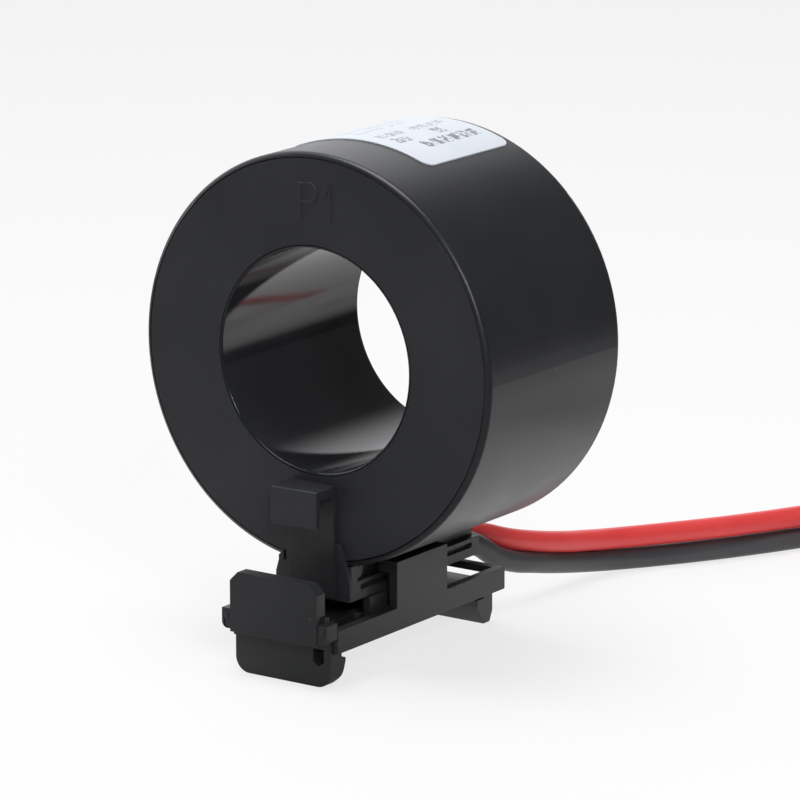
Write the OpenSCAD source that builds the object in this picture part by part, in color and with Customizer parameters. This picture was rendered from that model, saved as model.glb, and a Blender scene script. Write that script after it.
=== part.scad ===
// Ring current transformer on a clip-on foot for 35 mm rail, with two flexible leads.
// Millimetres, +Z up. The origin is the centre of the bore, and the bore runs along Y.
// The marked primary side faces -Y, and the rail runs along X under the foot.

/* [Ring housing] */
// Outside diameter of the ring
ring_d = 56; // [54:0.5:60]
// Diameter of the bore for the primary conductor
bore_d = 30.4; // [28:0.2:31]
// Length of the ring along the bore
ring_len = 31.4; // [30:0.2:33]
// Wall of the cup, and its closed rear end
cup_wall = 2.0; // [1.8:0.1:2.2]
// Wall of the inner tube
tube_wall = 1.4; // [1.2:0.1:1.5]
// Width of the rim that shows round the lid
rim_w = 0.8; // [0.6:0.1:1]
// Thickness of the lid that closes the front
lid_t = 1.6; // [1.4:0.1:1.8]
// Rounding of the outer edges of the cup
edge_r = 0.8; // [0.4:0.1:0.8]

/* [Core and winding] */
// Radial build of the strip-wound core
core_build = 5.2; // [4:0.1:5.4]
// Length of the core along the bore
core_len = 18.4; // [16:0.2:19]
// Wall of the moulded case round the core
case_wall = 0.5; // [0.4:0.1:0.6]
// Thickness of the secondary winding round the case
winding_t = 1.0; // [0.8:0.1:1.1]
// Thickness of the tape over the winding
tape_t = 0.3; // [0.2:0.1:0.3]

/* [Saddle] */
// Width over the flanges that the foot grips
flange_w = 12; // [11.6:0.1:12.2]
// Height of the flanges
flange_h = 2.6; // [2.4:0.1:2.8]
// Width of the neck between the flanges and the ring
neck_w = 9.6; // [9.2:0.1:9.8]
// Width of the arm on the front face
arm_w = 7.4; // [7:0.1:7.6]
// Thickness of the arm
arm_t = 0.8; // [0.7:0.1:1]
// Reach of the hook in front of the ring
hook_reach = 4.7; // [4.4:0.1:5]

/* [Rail foot] */
// Width of the foot
foot_w = 17.2; // [17:0.1:17.6]
// Height of the foot's side walls
foot_h = 3.2; // [3.1:0.1:3.3]
// Width of the rail that the foot fits
rail_w = 35; // [35:1:35]
// Thickness of the rail's lip
lip_t = 1.0; // [1:0.1:1.1]
// Height of the hook and the jaw under the foot
hook_h = 4.8; // [4.6:0.1:5]

/* [Rail latch] */
// Thickness of the pull tab
tab_t = 2.0; // [1.8:0.1:2.2]
// Width of the pull tab
tab_w = 14.2; // [13.8:0.1:14.4]

/* [Leads] */
// Outside diameter of a lead
lead_d = 3.1; // [2.8:0.1:3.1]

/* [Hidden] */
$fn = 96;

ring_r = ring_d / 2;
bore_r = bore_d / 2;
front_y = -ring_len / 2;
rear_y = ring_len / 2;
seam = 0.1;                                   // open seam round the lid and the latch head
cavity_ro = ring_r - cup_wall;
cavity_ri = bore_r + tube_wall;
lid_ro = ring_r - rim_w;
lid_ri = bore_r + rim_w / 2;

// The wound core stands near the lid, so that the splices fit behind it
wound_front = front_y + lid_t + 0.8;
build_side = tape_t + winding_t + case_wall;  // from the outside of the tape to the core
wound_len = core_len + 2 * build_side;
wound_rear = wound_front + wound_len;
wound_ro = cavity_ro - 0.3;
wound_ri = wound_ro - core_build - 2 * build_side;

// Levels of the saddle and the foot
flange_top = -29.6;
flange_bot = flange_top - flange_h;
foot_top = -34.2;
foot_bot = foot_top - foot_h;
ground = foot_bot - hook_h;
floor_t = 1.0;
side_t = 1.3;
saddle_rear = 14.6;
tongue_front = -8.8;
tongue_rear = 3.1;
foot_front = -22.4;
foot_rear = 17.1;
lip_gap = lip_t + 0.1;
rail_rear = 14.7;                             // where the rail's rear edge stops
rail_front = rail_rear - rail_w - 0.1;        // where its front edge lies
lip_hold = 0.9;                               // how far the jaw reaches under the lip

// Leads: where they leave the ring, and the round bend into the saddle
lead_r = lead_d / 2;
root_y = wound_rear + lead_r + 0.45;
root_x = [2.0, -1.4];                         // black, red
root_bend = 3.4;
root_out_y = 15.2;
root_low = -31.6;
splice_top = -22.6;
lead_z = ground + lead_r;                     // a lead that lies on the surface
stack = lead_d + 0.1;                         // the red lead runs on top of the black one
coil_c = [46, 80.1];
coil_ro = 19.4;                               // centre line of the outermost turn
coil_turns = 2.21;
coil_pitch = 3.3;
coil_ri = coil_ro - coil_turns * coil_pitch;

// ---------- helpers ----------

// Turns a profile drawn as [radius, position along the bore] about the bore
module about_bore() {
    rotate([-90, 0, 0]) rotate_extrude($fn = 160) children();
}

// A rectangle given by its two corners
module rect(a, b) {
    translate(a) square(b - a);
}

// A box given by its lowest and highest corners
module box(a, b) {
    translate(a) cube(b - a);
}

// A rectangle with true round corners
module round_rect(a, b, r) {
    rect(a + [r, 0], b - [r, 0]);
    rect(a + [0, r], b - [0, r]);
    for (x = [a[0] + r, b[0] - r], y = [a[1] + r, b[1] - r]) translate([x, y]) circle(r, $fn = 32);
}

// What is cut off a square corner to round it: the corner at p, inward along d
module corner_cut(p, d, r) {
    difference() {
        translate(p) mirror([d[0] < 0 ? 1 : 0, 0]) mirror([0, d[1] < 0 ? 1 : 0])
            translate([-0.1, -0.1]) square(r + 0.1);
        translate(p + r * d) circle(r, $fn = 32);
    }
}

// Extrudes a front view, drawn as [x, z], from y0 to y1
module front_view(y0, y1) {
    translate([0, y1, 0]) rotate([90, 0, 0]) linear_extrude(y1 - y0) children();
}

// Extrudes a side view, drawn as [y, z], from x0 to x1
module side_view(x0, x1) {
    translate([x0, 0, 0]) rotate([90, 0, 90]) linear_extrude(x1 - x0) children();
}

// Extrudes a plan view, drawn as [x, y], from z0 to z1
module plan_view(z0, z1) {
    translate([0, 0, z0]) linear_extrude(z1 - z0) children();
}

module both_sides() {
    children();
    mirror([1, 0, 0]) children();
}

// A cylinder along the bore, from y0 to y1
module disc(r, y0, y1) {
    translate([0, y0, 0]) rotate([-90, 0, 0]) cylinder(r = r, h = y1 - y0, $fn = 160);
}

// ---------- ring housing ----------

// One moulding: outer wall, closed rear end and inner tube. The mouth has a step for the lid,
// and two holes under the rear end let the leads out into the saddle.
module housing_cup() color([0.18, 0.19, 0.2]) difference() {
    about_bore() difference() {
        rect([bore_r, front_y], [ring_r, rear_y]);
        rect([cavity_ri, front_y - 1], [cavity_ro, rear_y - cup_wall]);
        rect([lid_ri - seam, front_y - 1], [lid_ro + seam, front_y + lid_t]);
        for (e = [[front_y, 1], [rear_y, -1]]) {
            corner_cut([ring_r, e[0]], [-1, e[1]], edge_r);
            corner_cut([bore_r, e[0]], [1, e[1]], 0.25);
        }
    }
    for (x = root_x) lead_hole(x);
}

module lead_hole(x) {
    translate([x, root_y, -ring_r - 1]) cylinder(r = lead_r, h = cup_wall + 4);
}

// Ring-shaped lid, let into the mouth of the cup
module front_lid() color([0.17, 0.18, 0.19]) about_bore() {
    difference() {
        rect([lid_ri, front_y], [lid_ro, front_y + lid_t]);
        corner_cut([lid_ro, front_y], [-1, 1], 0.15);
    }
    for (r = [cavity_ri, cavity_ro - 0.6]) rect([r, front_y + lid_t], [r + 0.6, front_y + lid_t + 0.7]);
}

// ---------- core and winding ----------

// Steel strip wound into a ring
module toroid_core() color([0.55, 0.56, 0.58]) about_bore()
    rect([wound_ri + build_side, wound_front + build_side],
        [wound_ro - build_side, wound_rear - build_side]);

// The case round the core: a trough, and the flat ring that closes it
module core_case_shell() color([0.85, 0.84, 0.78]) about_bore() difference() {
    case_rect(tape_t + winding_t);
    rect([wound_ri + build_side, wound_front + tape_t + winding_t - 1],
        [wound_ro - build_side, wound_rear - build_side]);
}

module core_case_cover() color([0.8, 0.79, 0.72]) about_bore()
    rect([wound_ri + build_side, wound_front + build_side - case_wall],
        [wound_ro - build_side, wound_front + build_side]);

module case_rect(t) {
    rect([wound_ri + t, wound_front + t], [wound_ro - t, wound_rear - t]);
}

// Enamelled wire wound over the whole ring
module secondary_winding() color([0.72, 0.35, 0.16]) about_bore() difference() {
    under_tape();
    case_rect(tape_t + winding_t);
}

// Section of the winding's outside, which the tape covers
module under_tape() {
    round_rect([wound_ri + tape_t, wound_front + tape_t], [wound_ro - tape_t, wound_rear - tape_t], 0.7);
}

module winding_tape() color([0.9, 0.75, 0.2]) about_bore() difference() {
    round_rect([wound_ri, wound_front], [wound_ro, wound_rear], 0.9);
    under_tape();
}

// Casting resin: what is left of the cavity
module resin_fill() color([0.12, 0.12, 0.13]) difference() {
    about_bore() difference() {
        rect([cavity_ri, front_y + lid_t], [cavity_ro, rear_y - cup_wall]);
        round_rect([wound_ri, wound_front], [wound_ro, wound_rear], 0.9);
        for (r = [cavity_ri, cavity_ro - 0.6])
            rect([r, front_y + lid_t], [r + 0.6, front_y + lid_t + 0.7]);
    }
    for (x = root_x) {
        lead_hole(x);
        splice_body(x);
    }
}

// A sleeve over the joint between a lead and the end of the winding
module splice_body(x) {
    translate([x, root_y, splice_top - 2]) cylinder(r = lead_r, h = 5.6, $fn = 48);
}

module splice_sleeve_black() color([0.1, 0.1, 0.1]) splice_body(root_x[0]);
module splice_sleeve_red() color([0.6, 0.1, 0.1]) splice_body(root_x[1]);

// ---------- label ----------

label_half = 23.5;                            // degrees each side of the top
label_y = [-5.3, 14.2];
label_t = 0.15;

module label_plate() color([0.85, 0.87, 0.91]) intersection() {
    difference() {
        disc(ring_r + label_t, label_y[0] - 1, label_y[1] + 1);
        disc(ring_r, label_y[0] - 2, label_y[1] + 2);
    }
    plan_view(ring_r / 2, ring_r + 1)
        round_rect([-ring_r * sin(label_half), label_y[0]], [ring_r * sin(label_half), label_y[1]], 1.6);
}

// ---------- saddle ----------

// Front view of the plate that widens below the ring
function flare_outline() = [
    [4.6, -24.4], [5.9, -28.9], [6.1, -29.6], [6.1, flange_bot], [-6.1, flange_bot],
    [-6.1, -29.6], [-5.9, -28.9], [-4.6, -24.4]
];

// The saddle is glued under the ring. The foot grips its flanges, and its arm stands on the
// front face, with a hook at the top that opens downward.
module saddle() color([0.2, 0.21, 0.22]) {
    difference() {
        union() {
            box([-neck_w / 2, front_y, flange_top - 0.5], [neck_w / 2, saddle_rear, -ring_r + 4]);
            box([-flange_w / 2, front_y, flange_bot], [flange_w / 2, saddle_rear, flange_top]);
            both_sides() front_gusset();
        }
        disc(ring_r, front_y - 1, rear_y + 1);
        // channel for the leads, open to the rear
        box([-neck_w / 2 + 1.1, -13.6, flange_bot - 1], [neck_w / 2 - 1.1, saddle_rear + 1, -ring_r + 3]);
        // grooves along the flanges
        both_sides() side_view(flange_w / 2 - 0.7, flange_w / 2 + 1)
            round_rect([front_y + 2.2, flange_top - 1.3], [saddle_rear - 1.8, flange_top - 0.6], 0.3);
    }
    // bridge over the channel, between the flanges and clear of the leads
    box([-neck_w / 2 + 1.1, -4, flange_bot], [neck_w / 2 - 1.1, 4, flange_bot + 1]);
    front_plate();
    arm();
}

// The rounded block that ties the front plate to the neck
module front_gusset() {
    side_view(0, flange_w / 2) {
        rect([front_y, flange_top + 0.4], [-13.9, -27]);
        translate([-13.9, flange_top + 1.3]) circle(0.9, $fn = 32);
        rect([-13.95, flange_top + 1.3], [-13, -27]);
    }
}

module front_plate() {
    difference() {
        front_view(front_y - 0.5, front_y) polygon(flare_outline());
        // narrow slot that marks the left side of the plate
        front_view(front_y - 1, front_y + 1) round_rect([-4.75, -27.9], [-4.35, -26.4], 0.15);
    }
    front_view(front_y, front_y + 1.5)
        polygon([[6, flange_bot], [6, -29], [5.6, -28.2], [-5.6, -28.2], [-6, -29], [-6, flange_bot]]);
}

module arm() {
    top = -16.5;
    front_view(front_y - arm_t, front_y)
        rect([-arm_w / 2, flange_bot + 0.3], [arm_w / 2, top]);
    // hook: a level top and a lip that hangs in front
    side_view(-arm_w / 2, arm_w / 2) difference() {
        rect([front_y - hook_reach, top - 5.1], [front_y - arm_t + 0.1, top]);
        rect([front_y - hook_reach + 0.85, top - 6], [front_y - arm_t, top - 1.3]);
        corner_cut([front_y - hook_reach, top], [1, -1], 0.3);
    }
}

// ---------- rail foot ----------

// One moulding: a shallow channel for the latch, two tongues that snap over the flanges of the
// saddle, and the fixed hook that takes the rear edge of the rail.
module rail_foot() color([0.22, 0.23, 0.24]) {
    w = foot_w / 2;
    difference() {
        box([-w, foot_front, foot_bot], [w, foot_rear, foot_top]);
        box([-w + side_t, foot_front - 1, foot_bot + floor_t], [w - side_t, foot_rear + 1, foot_top + 1]);
        // the floor stops short of the front, where the jaw rises to the slider
        box([-w + side_t, foot_front - 1, foot_bot - 1], [w - side_t, rail_front, foot_bot + floor_t + 1]);
    }
    // rear cross bar, over an open window
    box([-w + side_t - 0.1, foot_rear - 1.2, foot_top - 1.1], [w - side_t + 0.1, foot_rear, foot_top]);
    // post that the spring pushes against
    box([-1.2, -6, foot_bot + floor_t - 0.1], [1.2, -5, foot_top - 0.1]);
    both_sides() {
        tongue();
        latch_guide();
        support_pad();
    }
    fixed_hook();
}

module tongue() {
    w = foot_w / 2;
    // outer skin, flush with the side of the foot
    box([w - side_t, tongue_front, foot_top - 1], [w, tongue_rear, -27.8]);
    // inward lip over the flange, with a slope on top that lets the flange push it aside
    front_view(tongue_front, tongue_rear)
        polygon([[w - side_t, flange_top + 0.1], [5.2, flange_top + 0.1], [5.2, flange_top + 0.8],
            [6.2, -27.8], [w - side_t, -27.8]]);
    // two ribs inside that centre the flange
    for (y = [tongue_front + 1.2, tongue_rear - 2.2])
        box([flange_w / 2 + 0.1, y, foot_top], [w - side_t + 0.1, y + 1, flange_top + 0.2]);
}

// Ledge that keeps the slider down on the floor of the foot
module latch_guide() {
    box([6.3, tongue_front, foot_top - 0.9], [foot_w / 2 - side_t + 0.1, tongue_rear, foot_top]);
}

// Rounded rib that the flange of the saddle rests on
module support_pad() {
    side_view(5.3, 6.4) {
        rect([-12, foot_top - 0.9], [-7.9, flange_bot - 0.3]);
        for (y = [-11.65, -7.95]) translate([y, flange_bot - 0.35]) circle(0.35, $fn = 24);
        rect([-11.65, flange_bot - 0.35], [-7.95, flange_bot]);
    }
    box([5.3, -12, foot_top - 0.9], [foot_w / 2 - side_t + 0.1, -7.6, foot_top - 0.1]);
}

// Side view of the hook for the rear edge of the rail
module fixed_hook() {
    side_view(-6.7, 6.7) difference() {
        polygon([
            [13.1, foot_bot + 0.1], [16.9, foot_bot + 0.1], [16.9, foot_bot - 3.3], [16.2, ground],
            [14.7, ground], [13.1, foot_bot - lip_gap - 1.2]
        ]);
        rect([12, foot_bot - lip_gap], [rail_rear, foot_bot]);
    }
}

// ---------- rail latch ----------

plate_y = -25.2;                              // front face of the plate
head_z = [-35.8, -33];
jaw_y = -23;                                  // front face of the jaw
slider_z = [foot_bot + floor_t + 0.1, foot_top - 1.0];

// One moulding: a front plate whose upper end is the pull tab, the head that closes the front of
// the foot, the jaw for the front edge of the rail, and the slider that runs inside the foot.
module rail_latch() color([0.21, 0.22, 0.23]) {
    front_plate_of_latch();
    latch_head();
    jaw();
    slider();
}

module front_plate_of_latch() {
    c = 1.3;                                  // chamfer of the top corners
    w = tab_w / 2;
    top = -27.7;
    tab_low = -32.1;
    // thin down to the jaw, and thick where a finger pulls
    front_view(plate_y, plate_y + 0.8) rect([-w, -36.1], [w, tab_low + 0.1]);
    front_view(plate_y, plate_y + tab_t)
        polygon([[-w, tab_low], [w, tab_low], [w, top - c], [w - c, top], [-w + c, top], [-w, top - c]]);
    // neck between the tab and the head
    box([-5.6, plate_y + 0.5, head_z[1] - 0.1], [5.6, plate_y + tab_t - 0.1, tab_low + 0.1]);
}

module latch_head() {
    w = foot_w / 2;
    // its ends stand out as ears with rounded lower corners, each with a small boss
    front_view(plate_y + 0.2, foot_front - seam) difference() {
        rect([-w, head_z[0]], [w, head_z[1]]);
        corner_cut([-w, head_z[0]], [1, 1], 0.9);
        corner_cut([w, head_z[0]], [-1, 1], 0.9);
    }
    both_sides() translate([7.8, plate_y + 0.3, -34]) rotate([90, 0, 0])
        cylinder(r = 0.4, h = 0.25, $fn = 24);
    // stop nub behind the tab
    translate([7, -22.95, head_z[1] - 0.1]) cylinder(r = 0.45, h = 0.7, $fn = 24);
}

// The jaw: a nose under the front lip of the rail, with a sloped back that rides over it, and
// the web that carries it from the slider
module jaw() {
    difference() {
        union() {
            intersection() {
                side_view(-7.8, 7.8) polygon([
                    [jaw_y, head_z[0] + 0.1], [foot_front - seam, head_z[0] + 0.1],
                    [foot_front - seam, foot_bot - 0.1], [rail_front, foot_bot - 0.1],
                    [rail_front, foot_bot - lip_gap], [rail_front + lip_hold, foot_bot - lip_gap],
                    [rail_front + lip_hold, foot_bot - lip_gap - 0.5],
                    [-20.2, ground + 1.2], [-21.2, ground + 0.3], [-22, ground], [jaw_y, ground]
                ]);
                front_view(-26, -15) union() {
                    rect([-7.8, ground + 2.3], [7.8, head_z[0] + 0.1]);
                    round_rect([-7.8, ground], [7.8, ground + 4.6], 2.2);
                }
            }
            box([-7.1, jaw_y, foot_bot - 0.2], [7.1, rail_front - 0.1, slider_z[0] + 0.1]);
        }
        // slot for the tip of a screwdriver
        front_view(jaw_y - 1, jaw_y + 1.4)
            polygon([[5, -37], [6.7, -37], [6.7, -38.7], [5.85, -39.3], [5, -38.7]]);
    }
}

module slider() {
    plan_view(slider_z[0], slider_z[1]) difference() {
        rect([-7.1, jaw_y + 0.1], [7.1, 8]);
        for (s = [-1, 1]) corner_cut([7.1 * s, 8], [-s, -1], 1);
        // window round the spring
        round_rect([-1.7, -10.6], [1.7, 5], 0.4);
        // lightening slots
        for (s = [-1, 1]) round_rect([s * 4.4 - 1, -19], [s * 4.4 + 1, -11], 0.9);
    }
}

// ---------- latch spring ----------

spring_y = [-5, 5];
spring_r = 0.9;
wire_r = 0.2;
spring_turns = 8;

// Compression spring: one round wire on a helix
module latch_spring() color([0.75, 0.76, 0.78]) {
    steps = 10;
    n = spring_turns * steps;
    first = spring_y[0] + wire_r + 0.02;
    last = spring_y[1] - wire_r - 0.02;
    axis_z = foot_bot + floor_t + 1.25;
    sweep([for (i = [0:n]) let (a = 360 * i / steps)
        [spring_r * cos(a), first + (last - first) * i / n, axis_z + spring_r * sin(a)]], wire_r, 6);
}

// ---------- leads ----------

// A round tube swept along points, closed at both ends
module sweep(path, r, sides) {
    n = len(path);
    rings = [for (i = [0:n - 1])
        let (a = path[max(i - 1, 0)], b = path[min(i + 1, n - 1)],
             t = (b - a) / norm(b - a),
             u0 = cross(abs(t[2]) < 0.9 ? [0, 0, 1] : [0, 1, 0], t), u = u0 / norm(u0), v = cross(t, u))
        for (k = [0:sides - 1]) let (w = 360 * (k + 0.5) / sides)
            path[i] + r * (cos(w) * u + sin(w) * v)];
    polyhedron(rings, concat(
        [[for (k = [0:sides - 1]) sides - 1 - k]],
        [for (i = [0:n - 2], k = [0:sides - 1]) let (m = (k + 1) % sides)
            [i * sides + k, i * sides + m, (i + 1) * sides + m, (i + 1) * sides + k]],
        [[for (k = [0:sides - 1]) (n - 1) * sides + k]]));
}

// From its splice down through the cup, then round a bend and back along the saddle's channel
module lead_root(x) {
    down_to = root_low + root_bend;
    translate([x, root_y, down_to]) cylinder(r = lead_r, h = splice_top - 2 - down_to, $fn = 48);
    translate([x, root_y + root_bend, down_to]) rotate([0, 90, 0]) rotate([0, 0, -90])
        rotate_extrude(angle = 90, $fn = 48) translate([root_bend, 0]) circle(lead_r, $fn = 48);
    translate([x, root_y + root_bend, root_low]) rotate([-90, 0, 0])
        cylinder(r = lead_r, h = root_out_y - root_y - root_bend, $fn = 48);
}

module black_lead_root() color([0.1, 0.1, 0.1]) lead_root(root_x[0]);
module red_lead_root() color([0.8, 0.1, 0.1]) lead_root(root_x[1]);

// Plan of both leads, with the height of the black one, from the saddle to the coil
coil_in = [coil_c[0] - coil_ro * cos(27), coil_c[1] + coil_ro * sin(27)];
lead_tail = [
    [7, 48.6, lead_z], [9.8, 53.5, lead_z], [14, 59.5, lead_z], [18, 66.3, lead_z],
    [21.7, 73.5, lead_z], [25.2, 81, lead_z], [coil_in[0], coil_in[1], lead_z]
];
black_route = concat([
    [root_x[0], root_out_y, root_low], [root_x[0], 16.6, root_low], [2.6, 19.2, -32.6],
    [3.4, 22.5, -34.8], [4.1, 26, -36.2], [4.6, 30.2, -37.2], [4.8, 35.5, -38.4], [5.2, 42.5, -39.7]
], lead_tail);
red_route = concat([
    [root_x[1], root_out_y, root_low], [root_x[1], 16.6, root_low], [-0.8, 19.2, -31.5],
    [0.8, 22.5, -31.9], [2.7, 26, -33], [3.9, 30.2, -34], [4.6, 35.5, -35.2], [5.2, 42.5, -36.5]
], [for (p = lead_tail) p + [0, 0, stack]]);

module black_lead() color([0.1, 0.1, 0.11]) sweep(black_route, lead_r, 8);
module red_lead() color([0.85, 0.12, 0.14]) sweep(red_route, lead_r, 8);

// Outer shape of the coil: black turns below, red turns on them
module lead_coil() color([0.5, 0.1, 0.12])
    translate([coil_c[0], coil_c[1], ground]) rotate_extrude($fn = 96)
        round_rect([coil_ri - lead_r, 0], [coil_ro + lead_r, lead_d + stack], lead_r);

// Tinned tip of a lead, in line with the end of the innermost turn
module wire_end(z) {
    turned = 153 - 360 * coil_turns;
    translate([coil_c[0] + coil_ri * cos(turned), coil_c[1] + coil_ri * sin(turned), z])
        rotate([0, 90, turned - 90]) cylinder(r = 0.75, h = 6, $fn = 32);
}

module black_wire_end() color([0.8, 0.8, 0.82]) wire_end(lead_z);
module red_wire_end() color([0.8, 0.8, 0.82]) wire_end(lead_z + stack);

housing_cup();
front_lid();
toroid_core();
core_case_shell();
core_case_cover();
secondary_winding();
winding_tape();
resin_fill();
splice_sleeve_black();
splice_sleeve_red();
label_plate();
saddle();
rail_foot();
rail_latch();
latch_spring();
black_lead_root();
red_lead_root();
black_lead();
red_lead();
lead_coil();
black_wire_end();
red_wire_end();
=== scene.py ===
# %% [markdown]
# # A ring current transformer on a clip-on rail foot
# The measured cable passes through the ring, and two thin leads carry the small secondary
# current away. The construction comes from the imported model: its solids arrive at their real
# size and place, and this script gives them their looks. One unit in Blender is one metre, so
# a small length is written in millimetres and multiplied by MM.

# %% Load the fixed frame
import math

import bpy
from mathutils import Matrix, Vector


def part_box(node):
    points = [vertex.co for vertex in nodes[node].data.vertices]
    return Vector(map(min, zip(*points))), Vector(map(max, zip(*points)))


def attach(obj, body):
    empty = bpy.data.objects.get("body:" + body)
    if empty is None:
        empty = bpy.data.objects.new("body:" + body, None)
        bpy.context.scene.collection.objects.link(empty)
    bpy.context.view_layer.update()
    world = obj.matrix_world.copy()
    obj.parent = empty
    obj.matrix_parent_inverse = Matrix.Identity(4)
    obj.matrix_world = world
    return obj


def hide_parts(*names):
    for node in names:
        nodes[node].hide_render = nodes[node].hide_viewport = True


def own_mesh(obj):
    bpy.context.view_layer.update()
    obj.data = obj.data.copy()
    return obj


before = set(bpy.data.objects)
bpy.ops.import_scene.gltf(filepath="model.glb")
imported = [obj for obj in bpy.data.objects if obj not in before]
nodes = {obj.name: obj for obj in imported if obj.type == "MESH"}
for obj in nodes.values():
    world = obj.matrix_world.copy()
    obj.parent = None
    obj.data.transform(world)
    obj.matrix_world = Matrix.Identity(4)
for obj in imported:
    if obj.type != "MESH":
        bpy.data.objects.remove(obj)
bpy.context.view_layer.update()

MM = 0.001
bpy.ops.object.select_all(action="DESELECT")
print("frame loaded:", len(nodes), "nodes")

# %% [markdown]
# ## The camera
# A product picture of a small part is taken from some way off with a long lens, which keeps
# the ring's two faces nearly the same size. The camera stands in front and to the right, a
# little above, and looks at a point near the middle of the ring.

# %% Camera
azimuth = math.radians(34.99)
elevation = math.radians(13.63)
distance = 0.7
focal_length = 236.4                          # millimetres, on a sensor 36 mm wide
aim = Vector((7.05, -5.92, -6.27)) * MM
away = Vector((
    math.sin(azimuth) * math.cos(elevation),
    -math.cos(azimuth) * math.cos(elevation),
    math.sin(elevation),
))
bpy.ops.object.camera_add(location=aim + distance * away,
                          rotation=(math.pi / 2 - elevation, 0, azimuth))
camera = bpy.context.object
camera.data.sensor_width = 36
camera.data.lens = focal_length
camera.data.clip_start = 0.01
bpy.context.scene.camera = camera
print("camera at", [round(c / MM, 1) for c in camera.location], "mm")

# %% [markdown]
# ## The two leads
# The leads are limp, PVC-insulated stranded wire, 3.1 mm thick and 300 mm long. They leave the
# saddle at the rear side by side, sink to the surface that the part stands on, one on the
# other, and run away to the right. What isn't needed is wound into a flat coil, so the part
# fits on a shelf. A lead is a curve with a round bevel: a Bezier spline with automatic handles
# passes smoothly through every point, and its length is printed. The points repeat the route of
# the solids that the leads replace.

# %% Routes of the leads, in millimetres
lead_d = 3.1
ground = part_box("lead_coil")[0].z / MM       # level of the surface that the part stands on
lead_z = ground + lead_d / 2
stack = lead_d + 0.1                         # the red lead runs on top of the black one
coil_centre = (46.0, 80.1)
coil_r = 19.4                                # centre line of the outermost turn
coil_pitch = 3.3
coil_turns = 2.21
coil_entry = 153.0                           # degrees, where the outermost turn begins

touch_down = (7.3, 48.6, lead_z + 0.2)
tail = [(10.1, 53.6), (14.0, 59.5), (18.0, 66.3), (21.7, 73.5), (25.2, 81.0)]
black_route = [
    (2.0, 15.2, -31.6), (2.0, 16.6, -31.6), (2.6, 19.2, -32.6), (3.4, 22.5, -34.8),
    (4.1, 26.0, -36.2), (4.6, 30.2, -37.2), (4.9, 35.5, -38.4), (5.6, 42.5, -39.7), touch_down,
] + [(x, y, lead_z) for x, y in tail]
red_route = [
    (-1.4, 15.2, -31.6), (-1.4, 16.6, -31.6), (-0.8, 19.2, -31.5), (0.8, 22.5, -31.9),
    (2.8, 26.0, -33.1), (4.1, 30.2, -34.2), (5.0, 35.5, -35.35), (5.7, 42.5, -36.6),
    (7.3, 48.6, lead_z + stack + 0.15),
] + [(x, y, lead_z + stack) for x, y in tail]


def coil_point(turns, z):
    """A point of the flat spiral, which winds inward and clockwise seen from above."""
    a = math.radians(coil_entry - 360 * turns)
    r = coil_r - coil_pitch * turns
    return (coil_centre[0] + r * math.cos(a), coil_centre[1] + r * math.sin(a), z)


def coil_points(z, per_turn=16):
    steps = math.ceil(coil_turns * per_turn)
    return [coil_point(coil_turns * i / steps, z) for i in range(steps + 1)]


# %% Draw each lead as a bevelled curve
def draw_lead(name, points):
    curve = bpy.data.curves.new(name, "CURVE")
    curve.dimensions = "3D"
    curve.resolution_u = 8
    curve.bevel_depth = 1.0                   # times the radius of each point
    curve.bevel_resolution = 6
    curve.use_fill_caps = True
    spline = curve.splines.new("BEZIER")
    spline.bezier_points.add(len(points) - 1)
    for knot, place in zip(spline.bezier_points, points):
        knot.co = Vector(place) * MM
        knot.radius = lead_d / 2 * MM
        knot.handle_left_type = knot.handle_right_type = "AUTO"
    lead = bpy.data.objects.new(name, curve)
    bpy.context.collection.objects.link(lead)
    bpy.context.view_layer.update()
    print(name, "is", round(spline.calc_length() / MM, 1), "mm long")
    return lead


black_lead = draw_lead("insulation_black", black_route + coil_points(lead_z))
red_lead = draw_lead("insulation_red", red_route + coil_points(lead_z + stack))

# %% [markdown]
# ## The stripped ends
# Each lead ends in 6 mm of tinned strands, twisted together. One strand is a small ring of
# points swept along a screw line by the Screw modifier. It is modelled once, upright at the
# world's origin, and copied round the core strand, each copy with its own mesh.

# %% Helpers for modelling
def start_piece(name):
    """Takes the primitive that was just added as the start of a piece."""
    piece = bpy.context.object
    piece.name = piece.data.name = name
    return piece


def select_only(*pieces):
    bpy.ops.object.select_all(action="DESELECT")
    for piece in pieces:
        piece.select_set(True)
    bpy.context.view_layer.objects.active = pieces[0]


def apply_all(piece):
    """Applies the modifiers, and puts the piece's place into its mesh."""
    select_only(piece)
    for modifier in list(piece.modifiers):
        bpy.ops.object.modifier_apply(modifier=modifier.name)
    bpy.ops.object.transform_apply(location=True, rotation=True, scale=True)


def join(name, *pieces):
    select_only(*pieces)
    bpy.ops.object.join()
    pieces[0].name = pieces[0].data.name = name
    return pieces[0]


def smooth(piece, degrees=35):
    select_only(piece)
    bpy.ops.object.shade_smooth_by_angle(angle=math.radians(degrees))


def close_ends(piece):
    """Fills the two open ends of a swept tube, and turns its faces outwards."""
    select_only(piece)
    bpy.ops.object.mode_set(mode="EDIT")
    bpy.ops.mesh.select_mode(type="EDGE")
    bpy.ops.mesh.select_all(action="SELECT")
    bpy.ops.mesh.remove_doubles(threshold=0.001 * MM)
    bpy.ops.mesh.select_all(action="DESELECT")
    bpy.ops.mesh.select_non_manifold()
    bpy.ops.mesh.fill_holes(sides=0)
    bpy.ops.mesh.select_all(action="SELECT")
    bpy.ops.mesh.fill_holes(sides=0)
    bpy.ops.mesh.normals_make_consistent(inside=False)
    bpy.ops.object.mode_set(mode="OBJECT")


# %% One twisted strand, then the bundle
strand_r = 0.26                               # radius of one strand
tip_length = 6.0


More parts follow.
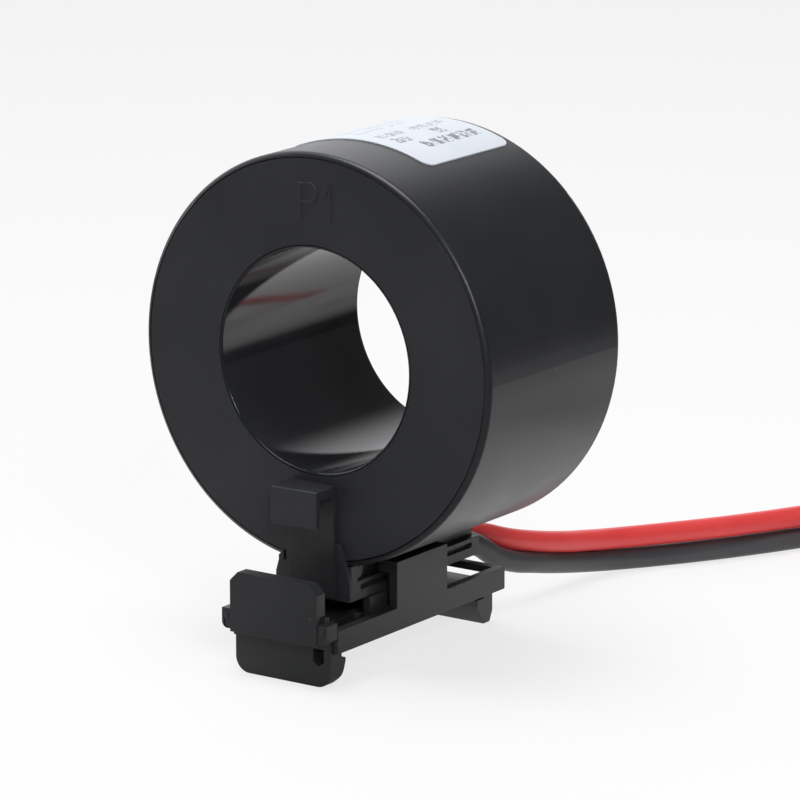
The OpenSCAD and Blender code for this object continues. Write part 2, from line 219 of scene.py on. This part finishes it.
def strand(name, radius, length, off_axis):
    bpy.ops.mesh.primitive_circle_add(vertices=10, radius=radius * MM,
                                      location=(off_axis * MM, 0, 0), rotation=(math.pi / 2, 0, 0))
    piece = start_piece(name)
    bpy.ops.object.transform_apply(location=True, rotation=True, scale=True)
    screw = piece.modifiers.new("twist", "SCREW")
    screw.axis = "Z"
    screw.angle = math.radians(200)
    screw.screw_offset = length * MM
    screw.steps = screw.render_steps = 24
    screw.use_smooth_shade = True
    apply_all(piece)
    close_ends(piece)
    return piece


def tip(name, z):
    """A core strand with six more twisted round it, turned into line with the end of the coil."""
    bpy.ops.mesh.primitive_cylinder_add(vertices=10, radius=strand_r * MM, depth=tip_length * MM,
                                        location=(0, 0, tip_length / 2 * MM))
    core = start_piece("core")
    apply_all(core)
    outer = [strand("outer", strand_r, tip_length, 2 * strand_r) for _ in range(6)]
    for i, piece in enumerate(outer):
        piece.rotation_euler.z = math.radians(60 * i)
        apply_all(piece)
    bundle = join(name, core, *outer)
    x, y, _ = coil_point(coil_turns, z)
    bundle.location = Vector((x, y, z)) * MM
    bundle.rotation_euler = (0, math.pi / 2, math.radians(coil_entry - 360 * coil_turns - 90))
    apply_all(bundle)
    smooth(bundle, 60)
    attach(bundle, "transformer")
    return bundle


black_tip = tip("tip_black", lead_z)
red_tip = tip("tip_red", lead_z + stack)
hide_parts("black_wire_end")
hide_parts("red_wire_end")
print("tips have", len(black_tip.data.polygons), "faces each")

# %% [markdown]
# ## The tie round the coil
# A coil of limp wire springs open unless something holds it. Here it is a paper-and-wire twist
# tie: a thin flat band round all the turns, with its two ends twisted together on top. The
# band starts as a box without two opposite faces, whose long edges are bevelled round.

# %% Twist tie
tie_at = 0.12                                 # place along the outermost turn
tie_w = 3.0
tie_gap = 0.25
tie_corner = 2.2
tie_thick = 0.3
twist_r = 0.45                                # each of the two twisted ends
twist_length = 5.5
outer_r = coil_r - coil_pitch * tie_at + lead_d / 2 + tie_gap
inner_r = coil_r - coil_pitch * (tie_at + 2) - lead_d / 2 - tie_gap
tie_height = lead_d + stack + tie_gap
tie_angle = math.radians(coil_entry - 360 * tie_at)
middle_r = (outer_r + inner_r) / 2

bpy.ops.mesh.primitive_cube_add(size=1)
tie = start_piece("coil_tie")
tie.scale = Vector((outer_r - inner_r, tie_w, tie_height)) * MM
bpy.ops.object.transform_apply(location=True, rotation=True, scale=True)
bpy.ops.object.mode_set(mode="EDIT")
bpy.ops.mesh.select_all(action="DESELECT")
bpy.ops.object.mode_set(mode="OBJECT")
for face in tie.data.polygons:
    face.select = abs(face.normal.y) > 0.9
bpy.ops.object.mode_set(mode="EDIT")
bpy.ops.mesh.delete(type="FACE")
bpy.ops.object.mode_set(mode="OBJECT")
for edge in tie.data.edges:
    a, b = (tie.data.vertices[i].co for i in edge.vertices)
    edge.select = abs(a.y - b.y) > 0.001
bpy.ops.object.mode_set(mode="EDIT")
bpy.ops.mesh.bevel(offset=tie_corner * MM, segments=8, affect="EDGES")
bpy.ops.object.mode_set(mode="OBJECT")
wall = tie.modifiers.new("thickness", "SOLIDIFY")
wall.thickness = tie_thick * MM
wall.offset = 1
apply_all(tie)

twist = [strand("twist", twist_r, twist_length, twist_r) for _ in range(2)]
for i, piece in enumerate(twist):
    piece.rotation_euler.z = math.pi * i
    piece.location = Vector((0, 0, tie_height / 2 - 0.1)) * MM
    apply_all(piece)
tie = join("coil_tie", tie, *twist)
tie.rotation_euler.z = tie_angle
tie.location = Vector((
    coil_centre[0] + middle_r * math.cos(tie_angle),
    coil_centre[1] + middle_r * math.sin(tie_angle),
    ground + 0.02 + tie_height / 2 + tie_thick,
)) * MM
apply_all(tie)
smooth(tie)
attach(tie, "transformer")
print("tie is", round(outer_r - inner_r, 1), "mm across inside")

# %% [markdown]
# ## The leads on the body
# Each lead rides with the transformer's body, and the solids of the leads and the coil are hidden.

for lead, route, slot_name, node_name, goes_with in (
    (black_lead, black_route, "lead_black", "black_lead", [black_tip]),
    (red_lead, red_route, "lead_red", "red_lead", [red_tip, tie]),
):
    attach(lead, "transformer")
    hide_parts(node_name, "lead_coil")

# %% [markdown]
# ## Moulded edges
# No moulded edge is truly sharp: the tool's corners leave a radius of a tenth or two, and that
# is what catches the light. A CAD solid arrives as loose triangles, so a copy is merged, its
# flat faces are made whole again by a limited dissolve, and a small Bevel goes over the sharp
# edges only. The copy rides with the same body and stands for the solid.

# %% Softened copies of the moulded pieces
def soften(node_name, body, radius):
    select_only(nodes[node_name])
    bpy.ops.object.duplicate()
    piece = start_piece(node_name + "_moulded")
    bpy.ops.mesh.customdata_custom_splitnormals_clear()
    bpy.ops.object.mode_set(mode="EDIT")
    bpy.ops.mesh.select_all(action="SELECT")
    bpy.ops.mesh.remove_doubles(threshold=0.002 * MM)
    bpy.ops.mesh.dissolve_limited(angle_limit=math.radians(0.6))
    bpy.ops.object.mode_set(mode="OBJECT")
    bevel = piece.modifiers.new("radius", "BEVEL")
    bevel.width = radius * MM
    bevel.segments = 2
    bevel.limit_method = "ANGLE"
    bevel.angle_limit = math.radians(40)
    bevel.use_clamp_overlap = False
    for key in [k for k in piece.keys() if k.startswith("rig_")]:
        del piece[key]
    apply_all(piece)
    smooth(piece, 30)
    flatten = piece.modifiers.new("flat faces stay flat", "WEIGHTED_NORMAL")
    flatten.keep_sharp = True
    apply_all(piece)
    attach(piece, body)
    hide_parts(node_name)
    print(piece.name, "has", len(piece.data.polygons), "faces")
    return piece


saddle = soften("saddle", "transformer", 0.1)
foot = soften("rail_foot", "transformer", 0.1)
latch = soften("rail_latch", "latch", 0.08)

# %% [markdown]
# ## The primary marks
# P1 stands on the face where the primary current enters, and P2 on the other one: the terminal
# marks that every current transformer has. The tool has them engraved, so on the plastic they
# are thin raised strokes. Each stroke is a short curve with a round bevel, half sunk into the
# face; the strokes are made a mesh, joined and flattened.

# %% Stroke letters
def arc(centre, r, first, last, steps=8):
    return [(centre[0] + r * math.cos(math.radians(first + (last - first) * i / steps)),
             centre[1] + r * math.sin(math.radians(first + (last - first) * i / steps)))
            for i in range(steps + 1)]


letter_h = 4.85
stroke_r = 0.24
mark_height = 18.9                            # foot of the letters above the bore's axis
strokes_of = {
    "P": [[(0, 0), (0, letter_h)],
          [(-0.3, letter_h), (1.3, letter_h)] + arc((1.3, 3.7), 1.3, 90, -90) + [(0, 2.4)]],
    "1": [[(-1.0, 3.7), (0, letter_h), (0, 0)]],
    "2": [arc((0, 3.7), 1.3, 170, -35) + [(-1.4, 0), (1.5, 0)]],
}


def raised_mark(name, letters, face_y):
    """Letters given with their place across, on the front face or, turned round, on the rear."""
    pieces = []
    for letter, across in letters:
        for stroke in strokes_of[letter]:
            curve = bpy.data.curves.new(name, "CURVE")
            curve.dimensions = "3D"
            curve.bevel_depth = stroke_r * MM
            curve.bevel_resolution = 3
            curve.use_fill_caps = True
            spline = curve.splines.new("POLY")
            spline.points.add(len(stroke) - 1)
            for knot, (x, z) in zip(spline.points, stroke):
                knot.co = ((across + x) * MM, 0, (mark_height + z) * MM, 1)
            piece = bpy.data.objects.new(name, curve)
            bpy.context.collection.objects.link(piece)
            select_only(piece)
            bpy.ops.object.convert(target="MESH")
            pieces.append(bpy.context.object)
    mark = join(name, *pieces)
    mark.scale.y = 0.7                        # flattens the strokes
    if face_y > 0:
        mark.rotation_euler.z = math.pi
    mark.location.y = face_y * MM
    apply_all(mark)
    smooth(mark, 50)
    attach(mark, "transformer")
    return mark


face_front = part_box("front_lid")[0].y / MM
face_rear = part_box("housing_cup")[1].y / MM
mark_p1 = raised_mark("mark_P1", [("P", -2.15), ("1", 2.65)], face_front)
mark_p2 = raised_mark("mark_P2", [("P", -2.6), ("2", 1.6)], face_rear)

# %% [markdown]
# ## The latch's spring
# The spring is wound from hard wire. A ring of points is swept round the spring's own line by
# the Screw modifier, eight times, and the two end turns are left open. It lies between a post
# of the foot and the end of the latch's window. The real spring shortens when the latch is
# pulled out; here it is wound at one length and rides with the transformer, not the latch.

# %% Wind the spring
spring_low, spring_high = (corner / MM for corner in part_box("latch_spring"))
wire_r = 0.2
spring_r = (spring_high.x - spring_low.x) / 2 - wire_r
spring_length = spring_high.y - spring_low.y
turns = 8

bpy.ops.object.select_all(action="DESELECT")
bpy.ops.mesh.primitive_circle_add(vertices=12, radius=wire_r * MM,
                                  location=(spring_r * MM, 0, wire_r * MM),
                                  rotation=(math.pi / 2, 0, 0))
spring = start_piece("spring_wire")
bpy.ops.object.transform_apply(location=True, rotation=True, scale=True)
wind = spring.modifiers.new("turns", "SCREW")
wind.axis = "Z"
wind.angle = math.radians(360)
wind.iterations = turns
wind.screw_offset = (spring_length - 2 * wire_r) / turns * MM
wind.steps = wind.render_steps = 32
wind.use_smooth_shade = True
apply_all(spring)
close_ends(spring)
spring.rotation_euler.x = -math.pi / 2
spring.location = Vector((0, spring_low.y, (spring_low.z + spring_high.z) / 2)) * MM
apply_all(spring)
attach(spring, "transformer")
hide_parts("latch_spring")
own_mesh(spring)
print("spring:", turns, "turns over", round(spring_length, 1), "mm")

# %% [markdown]
# ## Effects that several finishes share
# Moulded plastic is never one flat colour: the tool's eroded surface leaves a fine grain, the
# melt leaves faint cloudy patches, and a handled part carries a few specks of dust. Each effect
# is a node group with named sockets, built once. All of them read Object coordinates, which are
# metres here, so a noise scale of 3000 means features of about a third of a millimetre.

# %% Helpers for node groups
def new_group(name, inputs, outputs):
    group = bpy.data.node_groups.new(name, "ShaderNodeTree")
    for label, default in inputs:
        socket = group.interface.new_socket(label, in_out="INPUT", socket_type="NodeSocketFloat")
        socket.default_value = default
    for label in outputs:
        group.interface.new_socket(label, in_out="OUTPUT", socket_type="NodeSocketFloat")
    return group, group.nodes.new("NodeGroupInput"), group.nodes.new("NodeGroupOutput")


def add(tree, kind, **settings):
    """Adds a node. A setting named after an input socket sets it; any other is a property."""
    node = tree.nodes.new("ShaderNode" + kind)
    for key, value in settings.items():
        label = key.replace("_", " ")
        if label in node.inputs:
            node.inputs[label].default_value = value
        else:
            setattr(node, key, value)
    return node


def math_node(tree, operation, a, b=0.0):
    node = add(tree, "Math", operation=operation)
    for socket, value in zip(node.inputs, (a, b)):
        if isinstance(value, bpy.types.NodeSocket):
            tree.links.new(value, socket)
        else:
            socket.default_value = value
    return node.outputs[0]


def map_range(tree, value, low, high, to_low=0.0, to_high=1.0):
    node = add(tree, "MapRange", interpolation_type="SMOOTHSTEP")
    for label, setting in (("From Min", low), ("From Max", high), ("To Min", to_low),
                           ("To Max", to_high)):
        node.inputs[label].default_value = setting
    tree.links.new(value, node.inputs["Value"])
    return node.outputs["Result"]


# %% Grain of an eroded moulding tool
grain, g_in, g_out = new_group("eroded grain", [("Scale", 3000.0)], ["Height"])
place = add(grain, "TexCoord")
fine = add(grain, "TexNoise", Detail=4.0, Roughness=0.65)
grain.links.new(place.outputs["Object"], fine.inputs["Vector"])
grain.links.new(g_in.outputs["Scale"], fine.inputs["Scale"])
grain.links.new(fine.outputs["Fac"], g_out.inputs["Height"])

# %% Cloudy patches
clouds, c_in, c_out = new_group("cloudy patches", [("Scale", 60.0)], ["Mask"])
place = add(clouds, "TexCoord")
soft = add(clouds, "TexNoise", Detail=3.0, Roughness=0.5, Distortion=0.6)
clouds.links.new(place.outputs["Object"], soft.inputs["Vector"])
clouds.links.new(c_in.outputs["Scale"], soft.inputs["Scale"])
clouds.links.new(map_range(clouds, soft.outputs["Fac"], 0.3, 0.7), c_out.inputs["Mask"])

# %% Specks of dust
dust, d_in, d_out = new_group("dust specks", [("Scale", 500.0), ("Share", 0.1)], ["Mask"])
place = add(dust, "TexCoord")
cells = add(dust, "TexVoronoi")
dust.links.new(place.outputs["Object"], cells.inputs["Vector"])
dust.links.new(d_in.outputs["Scale"], cells.inputs["Scale"])
near = map_range(dust, cells.outputs["Distance"], 0.03, 0.08, 1.0, 0.0)
split = add(dust, "SeparateColor")
dust.links.new(cells.outputs["Color"], split.inputs["Color"])
chosen = math_node(dust, "LESS_THAN", split.outputs["Red"], d_in.outputs["Share"])
dust.links.new(math_node(dust, "MULTIPLY", near, chosen), d_out.inputs["Mask"])

# %% Fine rubbing marks
rubs, r_in, r_out = new_group("rubbing marks", [("Scale", 500.0)], ["Mask"])
place = add(rubs, "TexCoord")
stretch = add(rubs, "Mapping")
stretch.inputs["Rotation"].default_value = (0.4, 0.9, 0.6)
stretch.inputs["Scale"].default_value = (1.0, 0.05, 1.0)
streaks = add(rubs, "TexNoise", Detail=2.0)
rubs.links.new(place.outputs["Object"], stretch.inputs["Vector"])
rubs.links.new(stretch.outputs["Vector"], streaks.inputs["Vector"])
rubs.links.new(r_in.outputs["Scale"], streaks.inputs["Scale"])
rubs.links.new(map_range(rubs, streaks.outputs["Fac"], 0.62, 0.72), r_out.inputs["Mask"])
print("effects:", [g.name for g in bpy.data.node_groups])

# %% [markdown]
# ## Plastics
# One function makes each plastic from the shared effects, and the values make the difference:
# a matte lid, a satin cup, a slightly paler foot. What varies over the surface comes through
# nodes; what is the same all over is set on the shader's own socket.

# %% Helpers for finishes
def effect(tree, group, **values):
    node = tree.nodes.new("ShaderNodeGroup")
    node.node_tree = group
    for label, value in values.items():
        node.inputs[label].default_value = value
    return node.outputs[0]


def blend_colour(tree, fac, a, b):
    """Mixes two colours, each a value or a socket, by a mask."""
    node = add(tree, "Mix", data_type="RGBA")
    colour_a, colour_b = [s for s in node.inputs if s.type == "RGBA"]
    tree.links.new(fac, node.inputs["Factor"])
    for socket, value in ((colour_a, a), (colour_b, b)):
        if isinstance(value, bpy.types.NodeSocket):
            tree.links.new(value, socket)
        else:
            socket.default_value = (*value, 1)
    return [s for s in node.outputs if s.type == "RGBA"][0]


def relief(tree, shader, height, depth):
    """A bump: height is a mask, depth is in millimetres."""
    bump = add(tree, "Bump")
    bump.inputs["Strength"].default_value = 1.0
    bump.inputs["Distance"].default_value = depth * MM
    tree.links.new(height, bump.inputs["Height"])
    tree.links.new(bump.outputs["Normal"], shader.inputs["Normal"])


def new_finish(name):
    finish = bpy.data.materials.new(name)
    finish.use_nodes = True
    return finish, finish.node_tree, finish.node_tree.nodes["Principled BSDF"]


dust_grey = (0.14, 0.145, 0.155)


def plastic(name, colour, paler, rough, dusty=0.02):
    finish, tree, shader = new_finish(name)
    patches = effect(tree, clouds, Scale=70.0)
    marks = effect(tree, rubs, Scale=900.0)
    specks = effect(tree, dust, Scale=500.0, Share=dusty)
    body_colour = blend_colour(tree, patches, colour, paler)
    tree.links.new(blend_colour(tree, specks, body_colour, dust_grey),
                   shader.inputs["Base Color"])
    rub = math_node(tree, "MULTIPLY", marks, 0.04)
    cloud = map_range(tree, patches, 0.0, 1.0, rough - 0.015, rough + 0.015)
    tree.links.new(math_node(tree, "ADD", rub, cloud), shader.inputs["Roughness"])
    relief(tree, shader, effect(tree, grain, Scale=3200.0), 0.004)
    shader.inputs["Specular IOR Level"].default_value = 0.5
    return finish, tree, shader


def paint(finish, *pieces):
    for piece in pieces:
        piece.data.materials.clear()
        piece.data.materials.append(finish)


# %% Black plastics
lid_black = plastic("lid black", (0.020, 0.021, 0.024), (0.024, 0.025, 0.029), 0.55)[0]
foot_black = plastic("foot black", (0.022, 0.023, 0.025), (0.029, 0.030, 0.033), 0.42)[0]

# The cup is satin outside, and polished where the bore's core pin formed it, so its roughness
# changes with the distance from the bore's axis
housing_black, tree, shader = plastic("housing black", (0.017, 0.018, 0.021),
                                      (0.020, 0.021, 0.024), 0.33)
place = add(tree, "TexCoord")
axes = add(tree, "SeparateXYZ")
tree.links.new(place.outputs["Object"], axes.inputs["Vector"])
squares = math_node(tree, "ADD", math_node(tree, "POWER", axes.outputs["X"], 2.0),
                    math_node(tree, "POWER", axes.outputs["Z"], 2.0))
radius = math_node(tree, "SQRT", squares)
outside = map_range(tree, radius, 15.3 * MM, 15.6 * MM)
satin = shader.inputs["Roughness"].links[0].from_socket
varied = add(tree, "Mix", data_type="FLOAT")
tree.links.new(outside, varied.inputs["Factor"])
varied.inputs["A"].default_value = 0.08
tree.links.new(satin, varied.inputs["B"])
tree.links.new(varied.outputs["Result"], shader.inputs["Roughness"])

resin = plastic("casting resin", (0.015, 0.015, 0.017), (0.03, 0.028, 0.03), 0.25)[0]
case_cream = plastic("case cream", (0.72, 0.68, 0.56), (0.78, 0.75, 0.64), 0.45, 0.0)[0]
sleeve_black = plastic("sleeve black", (0.02, 0.02, 0.02), (0.035, 0.035, 0.036), 0.5, 0.0)[0]
sleeve_red = plastic("sleeve red", (0.35, 0.02, 0.02), (0.42, 0.03, 0.03), 0.5, 0.0)[0]
pvc_black = plastic("pvc black", (0.050, 0.051, 0.056), (0.060, 0.061, 0.066), 0.38, 0.0)[0]
pvc_red = plastic("pvc red", (0.82, 0.060, 0.062), (0.86, 0.072, 0.070), 0.36, 0.0)[0]

# %% [markdown]
# ## Metals and windings
# Metals have Metallic at 1, and their colour is the colour of what they reflect. Inside the
# ring sits steel strip wound like a clock spring: seen on its faces it is fine rings, so a wave
# of the radius gives the strip's edges. The copper winding runs round the section of the ring,
# so its wires are a wave of the angle about the bore.

# %% Radius and angle about the bore
polar = bpy.data.node_groups.new("about the bore", "ShaderNodeTree")
for label in ("Radius", "Angle"):
    polar.interface.new_socket(label, in_out="OUTPUT", socket_type="NodeSocketFloat")
p_out = polar.nodes.new("NodeGroupOutput")
place = add(polar, "TexCoord")
axes = add(polar, "SeparateXYZ")
polar.links.new(place.outputs["Object"], axes.inputs["Vector"])
x, z = axes.outputs["X"], axes.outputs["Z"]
squares = math_node(polar, "ADD", math_node(polar, "POWER", x, 2.0),
                    math_node(polar, "POWER", z, 2.0))
polar.links.new(math_node(polar, "SQRT", squares), p_out.inputs["Radius"])
polar.links.new(math_node(polar, "ARCTAN2", x, z), p_out.inputs["Angle"])


def about_bore(tree):
    node = tree.nodes.new("ShaderNodeGroup")
    node.node_tree = polar
    return node.outputs["Radius"], node.outputs["Angle"]


# %% Metals
def metal(name, colour, darker, rough, height, depth):
    """A metal whose relief and shade follow the given height, which it calls with its tree."""
    finish, tree, shader = new_finish(name)
    wave = height(tree)
    tree.links.new(blend_colour(tree, wave, darker, colour), shader.inputs["Base Color"])
    shader.inputs["Metallic"].default_value = 1.0
    patches = effect(tree, clouds, Scale=150.0)
    tree.links.new(map_range(tree, patches, 0, 1, rough - 0.05, rough + 0.05),
                   shader.inputs["Roughness"])
    relief(tree, shader, wave, depth)
    return finish, tree, shader


def ripple(tree, value, per_unit):
    """0 to 1 and back, per_unit times for each unit of value."""
    return map_range(tree, math_node(tree, "SINE", math_node(tree, "MULTIPLY", value,
                                                             2 * math.pi * per_unit)), -1.0, 0.2)


strip_pitch = 0.3 * MM                        # thickness of the wound steel strip
wires_round = 320                             # copper wires side by side round the bore
tape_turns = 30

core_steel = metal("strip steel", (0.55, 0.56, 0.58), (0.30, 0.31, 0.33), 0.35,
                   lambda tree: ripple(tree, about_bore(tree)[0], 1 / strip_pitch), 0.02)[0]
copper, tree, shader = metal(
    "enamelled copper", (0.80, 0.32, 0.13), (0.33, 0.10, 0.04), 0.25,
    lambda tree: ripple(tree, about_bore(tree)[1], wires_round / (2 * math.pi)), 0.08)
shader.inputs["Coat Weight"].default_value = 0.6
shader.inputs["Coat Roughness"].default_value = 0.1
spring_steel = metal("spring steel", (0.62, 0.63, 0.65), (0.52, 0.53, 0.55), 0.28,
                     lambda tree: effect(tree, grain, Scale=4000.0), 0.002)[0]
tinned = metal("tinned strands", (0.80, 0.81, 0.82), (0.62, 0.63, 0.65), 0.30,
               lambda tree: effect(tree, grain, Scale=5000.0), 0.004)[0]

# %% Tape, wound on in overlapping turns
tape_amber, tree, shader = new_finish("amber tape")
turn = math_node(tree, "FRACT", math_node(tree, "MULTIPLY", about_bore(tree)[1],
                                          tape_turns / (2 * math.pi)))
edge = map_range(tree, turn, 0.0, 0.12)
tree.links.new(blend_colour(tree, edge, (0.45, 0.22, 0.02), (0.72, 0.42, 0.05)),
               shader.inputs["Base Color"])
shader.inputs["Roughness"].default_value = 0.22
relief(tree, shader, turn, 0.05)

# %% [markdown]
# ## The label
# A pale polyester label, curved round the top of the ring. Its print says nothing: it is rows
# of small grey cells, filled at random, in the places where such a label carries its data. The
# rows run along the bore. Across them the label is measured by the angle about the bore, and
# along them by Y.

# %% Label with rows of blank print
label_r = 28.15                               # radius of the label's face
edge_softness = 0.05
paper_white, paper_paler = (0.68, 0.725, 0.79), (0.72, 0.76, 0.82)
ink_dark, ink_pale = (0.20, 0.21, 0.24), (0.24, 0.25, 0.28)

label_white, tree, shader = new_finish("label white")
angle = about_bore(tree)[1]
place = add(tree, "TexCoord")
axes = add(tree, "SeparateXYZ")
tree.links.new(place.outputs["Object"], axes.inputs["Vector"])
across = math_node(tree, "MULTIPLY", angle, label_r)    # millimetres of arc from the top
along = math_node(tree, "MULTIPLY", axes.outputs["Y"], 1 / MM)


def block(low_across, high_across, low_along, high_along):
    """1 inside a rectangle of the label, with slightly soft edges."""
    inside = None
    for value, low, high in ((across, low_across, high_across), (along, low_along, high_along)):
        for step in (map_range(tree, value, low - edge_softness, low),
                     map_range(tree, value, high, high + edge_softness, 1.0, 0.0)):
            inside = step if inside is None else math_node(tree, "MULTIPLY", inside, step)
    return inside


def row(low, high, spans):
    """1 inside each of the spans along a row that reaches from low to high across it."""
    total = 0.0
    for first, last in spans:
        total = math_node(tree, "ADD", block(low, high, first, last), total)
    return total


def pitted(mask, size):
    """Breaks a row into small cells, some of which stay blank."""
    scaled = add(tree, "CombineXYZ")
    for value, axis in ((across, "X"), (along, "Y")):
        tree.links.new(math_node(tree, "FLOOR", math_node(tree, "DIVIDE", value, size)),
                       scaled.inputs[axis])
    noise = add(tree, "TexWhiteNoise", noise_dimensions="2D")
    tree.links.new(scaled.outputs["Vector"], noise.inputs["Vector"])
    return math_node(tree, "MULTIPLY", mask, map_range(tree, noise.outputs["Value"], 0.3, 0.5))


bold = row(5.7, 7.7, [(0.3 + 2.1 * i, 1.9 + 2.1 * i) for i in range(6)])
words = row(2.8, 4.8, [(-2.4, -0.9), (-0.5, 0.9), (6.6, 8.6)])
long_row = row(0.4, 2.0, [(-2.6 + 1.9 * i, -1.1 + 1.9 * i) for i in range(3)]
               + [(5.0 + 1.9 * i, 6.5 + 1.9 * i) for i in range(4)])
small = row(-3.2, -2.2, [(-2.4, 4.0), (5.0, 9.0)])
smaller = row(-5.4, -4.4, [(-2.4, 2.0), (3.0, 10.5)])
print_dark = math_node(tree, "ADD", pitted(bold, 0.42),
                       math_node(tree, "MULTIPLY", pitted(words, 0.4), 0.85))
print_pale = math_node(tree, "ADD", pitted(long_row, 0.36),
                       math_node(tree, "MULTIPLY", math_node(tree, "ADD", pitted(small, 0.3),
                                                             pitted(smaller, 0.3)), 0.6))
paper = blend_colour(tree, effect(tree, clouds, Scale=90.0), paper_white, paper_paler)
with_pale = blend_colour(tree, math_node(tree, "MULTIPLY", print_pale, 0.75), paper, ink_pale)
tree.links.new(blend_colour(tree, print_dark, with_pale, ink_dark), shader.inputs["Base Color"])
tree.links.new(map_range(tree, effect(tree, clouds, Scale=120.0), 0, 1, 0.30, 0.38),
               shader.inputs["Roughness"])
relief(tree, shader, effect(tree, grain, Scale=1500.0), 0.002)

# %% Put the finishes on
paint(housing_black, nodes["housing_cup"], mark_p2)
paint(lid_black, nodes["front_lid"], mark_p1)
paint(foot_black, saddle, foot, latch, nodes["saddle"], nodes["rail_foot"], nodes["rail_latch"])
paint(core_steel, nodes["toroid_core"])
paint(case_cream, nodes["core_case_shell"], nodes["core_case_cover"])
paint(copper, nodes["secondary_winding"])
paint(tape_amber, nodes["winding_tape"])
paint(resin, nodes["resin_fill"])
paint(sleeve_black, nodes["splice_sleeve_black"])
paint(sleeve_red, nodes["splice_sleeve_red"])
paint(label_white, nodes["label_plate"])
paint(spring_steel, spring, nodes["latch_spring"])
paint(pvc_black, black_lead, nodes["black_lead"], nodes["black_lead_root"], nodes["lead_coil"], tie)
paint(pvc_red, red_lead, nodes["red_lead"], nodes["red_lead_root"])
paint(tinned, black_tip, red_tip, nodes["black_wire_end"], nodes["red_wire_end"])

# %% [markdown]
# ## Floor, backdrop and light
# The part stands on a white table in front of a white backdrop. What the camera sees of them is
# white in itself, so the light on the part needn't be turned up for it. Black plastic shows its
# shape mostly through what it mirrors, so what it mirrors is shaped here, and isn't plain light:
# the backdrop glows behind on the left, and the room in front and on the right is dark. The table
# is painted for reflections only: in them it glows close to the part, and is painted dark in front
# of it and further off, a painted reflection. The table's change from dark to bright follows a
# direction fixed in the room, the one in which the camera above looks. A soft lamp overhead and a
# small one at the front right do the rest.

# %% World: white to the camera, a backdrop in a dark room to everything else
backdrop_side = (-0.906, 0.423, 0.0)          # the way from the part to the glowing backdrop
room_level, backdrop_level = 0.12, 1.15
bpy.context.scene.view_settings.view_transform = "Standard"
world = bpy.data.worlds.new("studio")
bpy.context.scene.world = world
world.use_nodes = True
tree = world.node_tree
paths = add(tree, "LightPath")
seen = add(tree, "Background")
seen.inputs["Color"].default_value = (1, 1, 1, 1)
direction = add(tree, "TexCoord")
towards = add(tree, "VectorMath", operation="DOT_PRODUCT")
towards.inputs[1].default_value = backdrop_side
tree.links.new(direction.outputs["Generated"], towards.inputs[0])
room = tree.nodes["Background"]
room.inputs["Color"].default_value = (0.97, 0.98, 1, 1)
tree.links.new(map_range(tree, towards.outputs["Value"], 0.32, 0.70, room_level, backdrop_level),
               room.inputs["Strength"])
either = add(tree, "MixShader")
tree.links.new(paths.outputs["Is Camera Ray"], either.inputs["Fac"])
tree.links.new(room.outputs[0], either.inputs[1])
tree.links.new(seen.outputs[0], either.inputs[2])
tree.links.new(either.outputs[0], tree.nodes["World Output"].inputs["Surface"])

# %% Table, painted for reflections
bpy.ops.mesh.primitive_circle_add(vertices=64, radius=1.5, fill_type="NGON",
                                  location=(0, 0, (ground - 0.05) * MM))
floor = start_piece("floor")
floor_painted_for_reflections, tree, shader = new_finish("floor painted for reflections")
place = add(tree, "TexCoord")
depth = add(tree, "VectorMath", operation="DOT_PRODUCT")
depth.inputs[1].default_value = (-math.sin(azimuth), math.cos(azimuth), 0)
far = add(tree, "VectorMath", operation="LENGTH")
for reading in (depth, far):
    tree.links.new(place.outputs["Object"], reading.inputs[0])
# Painted reflection: in reflections only, the table is dark in front of the part and far from it,
# and full white near and behind it
painted_reflection_level = math_node(tree, "MULTIPLY",
                   map_range(tree, depth.outputs["Value"], -30 * MM, 5 * MM, 0.15, 1.0),
                   map_range(tree, far.outputs["Value"], 100 * MM, 300 * MM, 1.0, 0.05))
paths = add(tree, "LightPath")
not_glossy = math_node(tree, "SUBTRACT", 1.0, paths.outputs["Is Glossy Ray"])
painted_reflection_tone = math_node(tree, "MAXIMUM", painted_reflection_level, not_glossy)
tree.links.new(blend_colour(tree, painted_reflection_tone, (0.0, 0.0, 0.0), (0.9, 0.9, 0.9)),
               shader.inputs["Base Color"])
shader.inputs["Roughness"].default_value = 0.8
shader.inputs["Specular IOR Level"].default_value = 0.0
# Painted glow: in reflections the table near the part also glows, though it is no lamp
painted_reflection_glow = add(tree, "Emission")
both = add(tree, "MixShader")
shown = math_node(tree, "MULTIPLY", paths.outputs["Is Camera Ray"], 0.75)
glossy_share = math_node(tree, "MULTIPLY", paths.outputs["Is Glossy Ray"], 0.65)
painted_glow_share = math_node(tree, "MULTIPLY", glossy_share, painted_reflection_level)
tree.links.new(math_node(tree, "ADD", shown, painted_glow_share), both.inputs["Fac"])
tree.links.new(shader.outputs[0], both.inputs[1])
tree.links.new(painted_reflection_glow.outputs[0], both.inputs[2])
tree.links.new(both.outputs[0], tree.nodes["Material Output"].inputs["Surface"])
paint(floor_painted_for_reflections, floor)

# %% A white cover over the spare coil, which only reflections see: it keeps the coil out of them
cover_height = 8
bpy.ops.mesh.primitive_cylinder_add(vertices=64, radius=(coil_r + 4) * MM,
                                    depth=cover_height * MM,
                                    location=Vector((*coil_centre, ground + cover_height / 2)) * MM)
cover = start_piece("coil_cover")
paint(floor_painted_for_reflections, cover)
for kind in ("camera", "diffuse", "transmission", "volume_scatter", "shadow"):
    setattr(cover, "visible_" + kind, False)


# %% Lamps
def soft_lamp(name, place, size, power):
    bpy.ops.object.light_add(type="AREA", location=place)
    lamp = bpy.context.object
    lamp.name = name
    lamp.data.size = size
    lamp.data.energy = power
    lamp.rotation_euler = (-Vector(place)).to_track_quat("-Z", "Y").to_euler()


soft_lamp("overhead", (-0.05, -0.05, 0.7), 0.5, 4.0)
soft_lamp("key", (0.42, -0.39, 0.30), 0.16, 1.2)
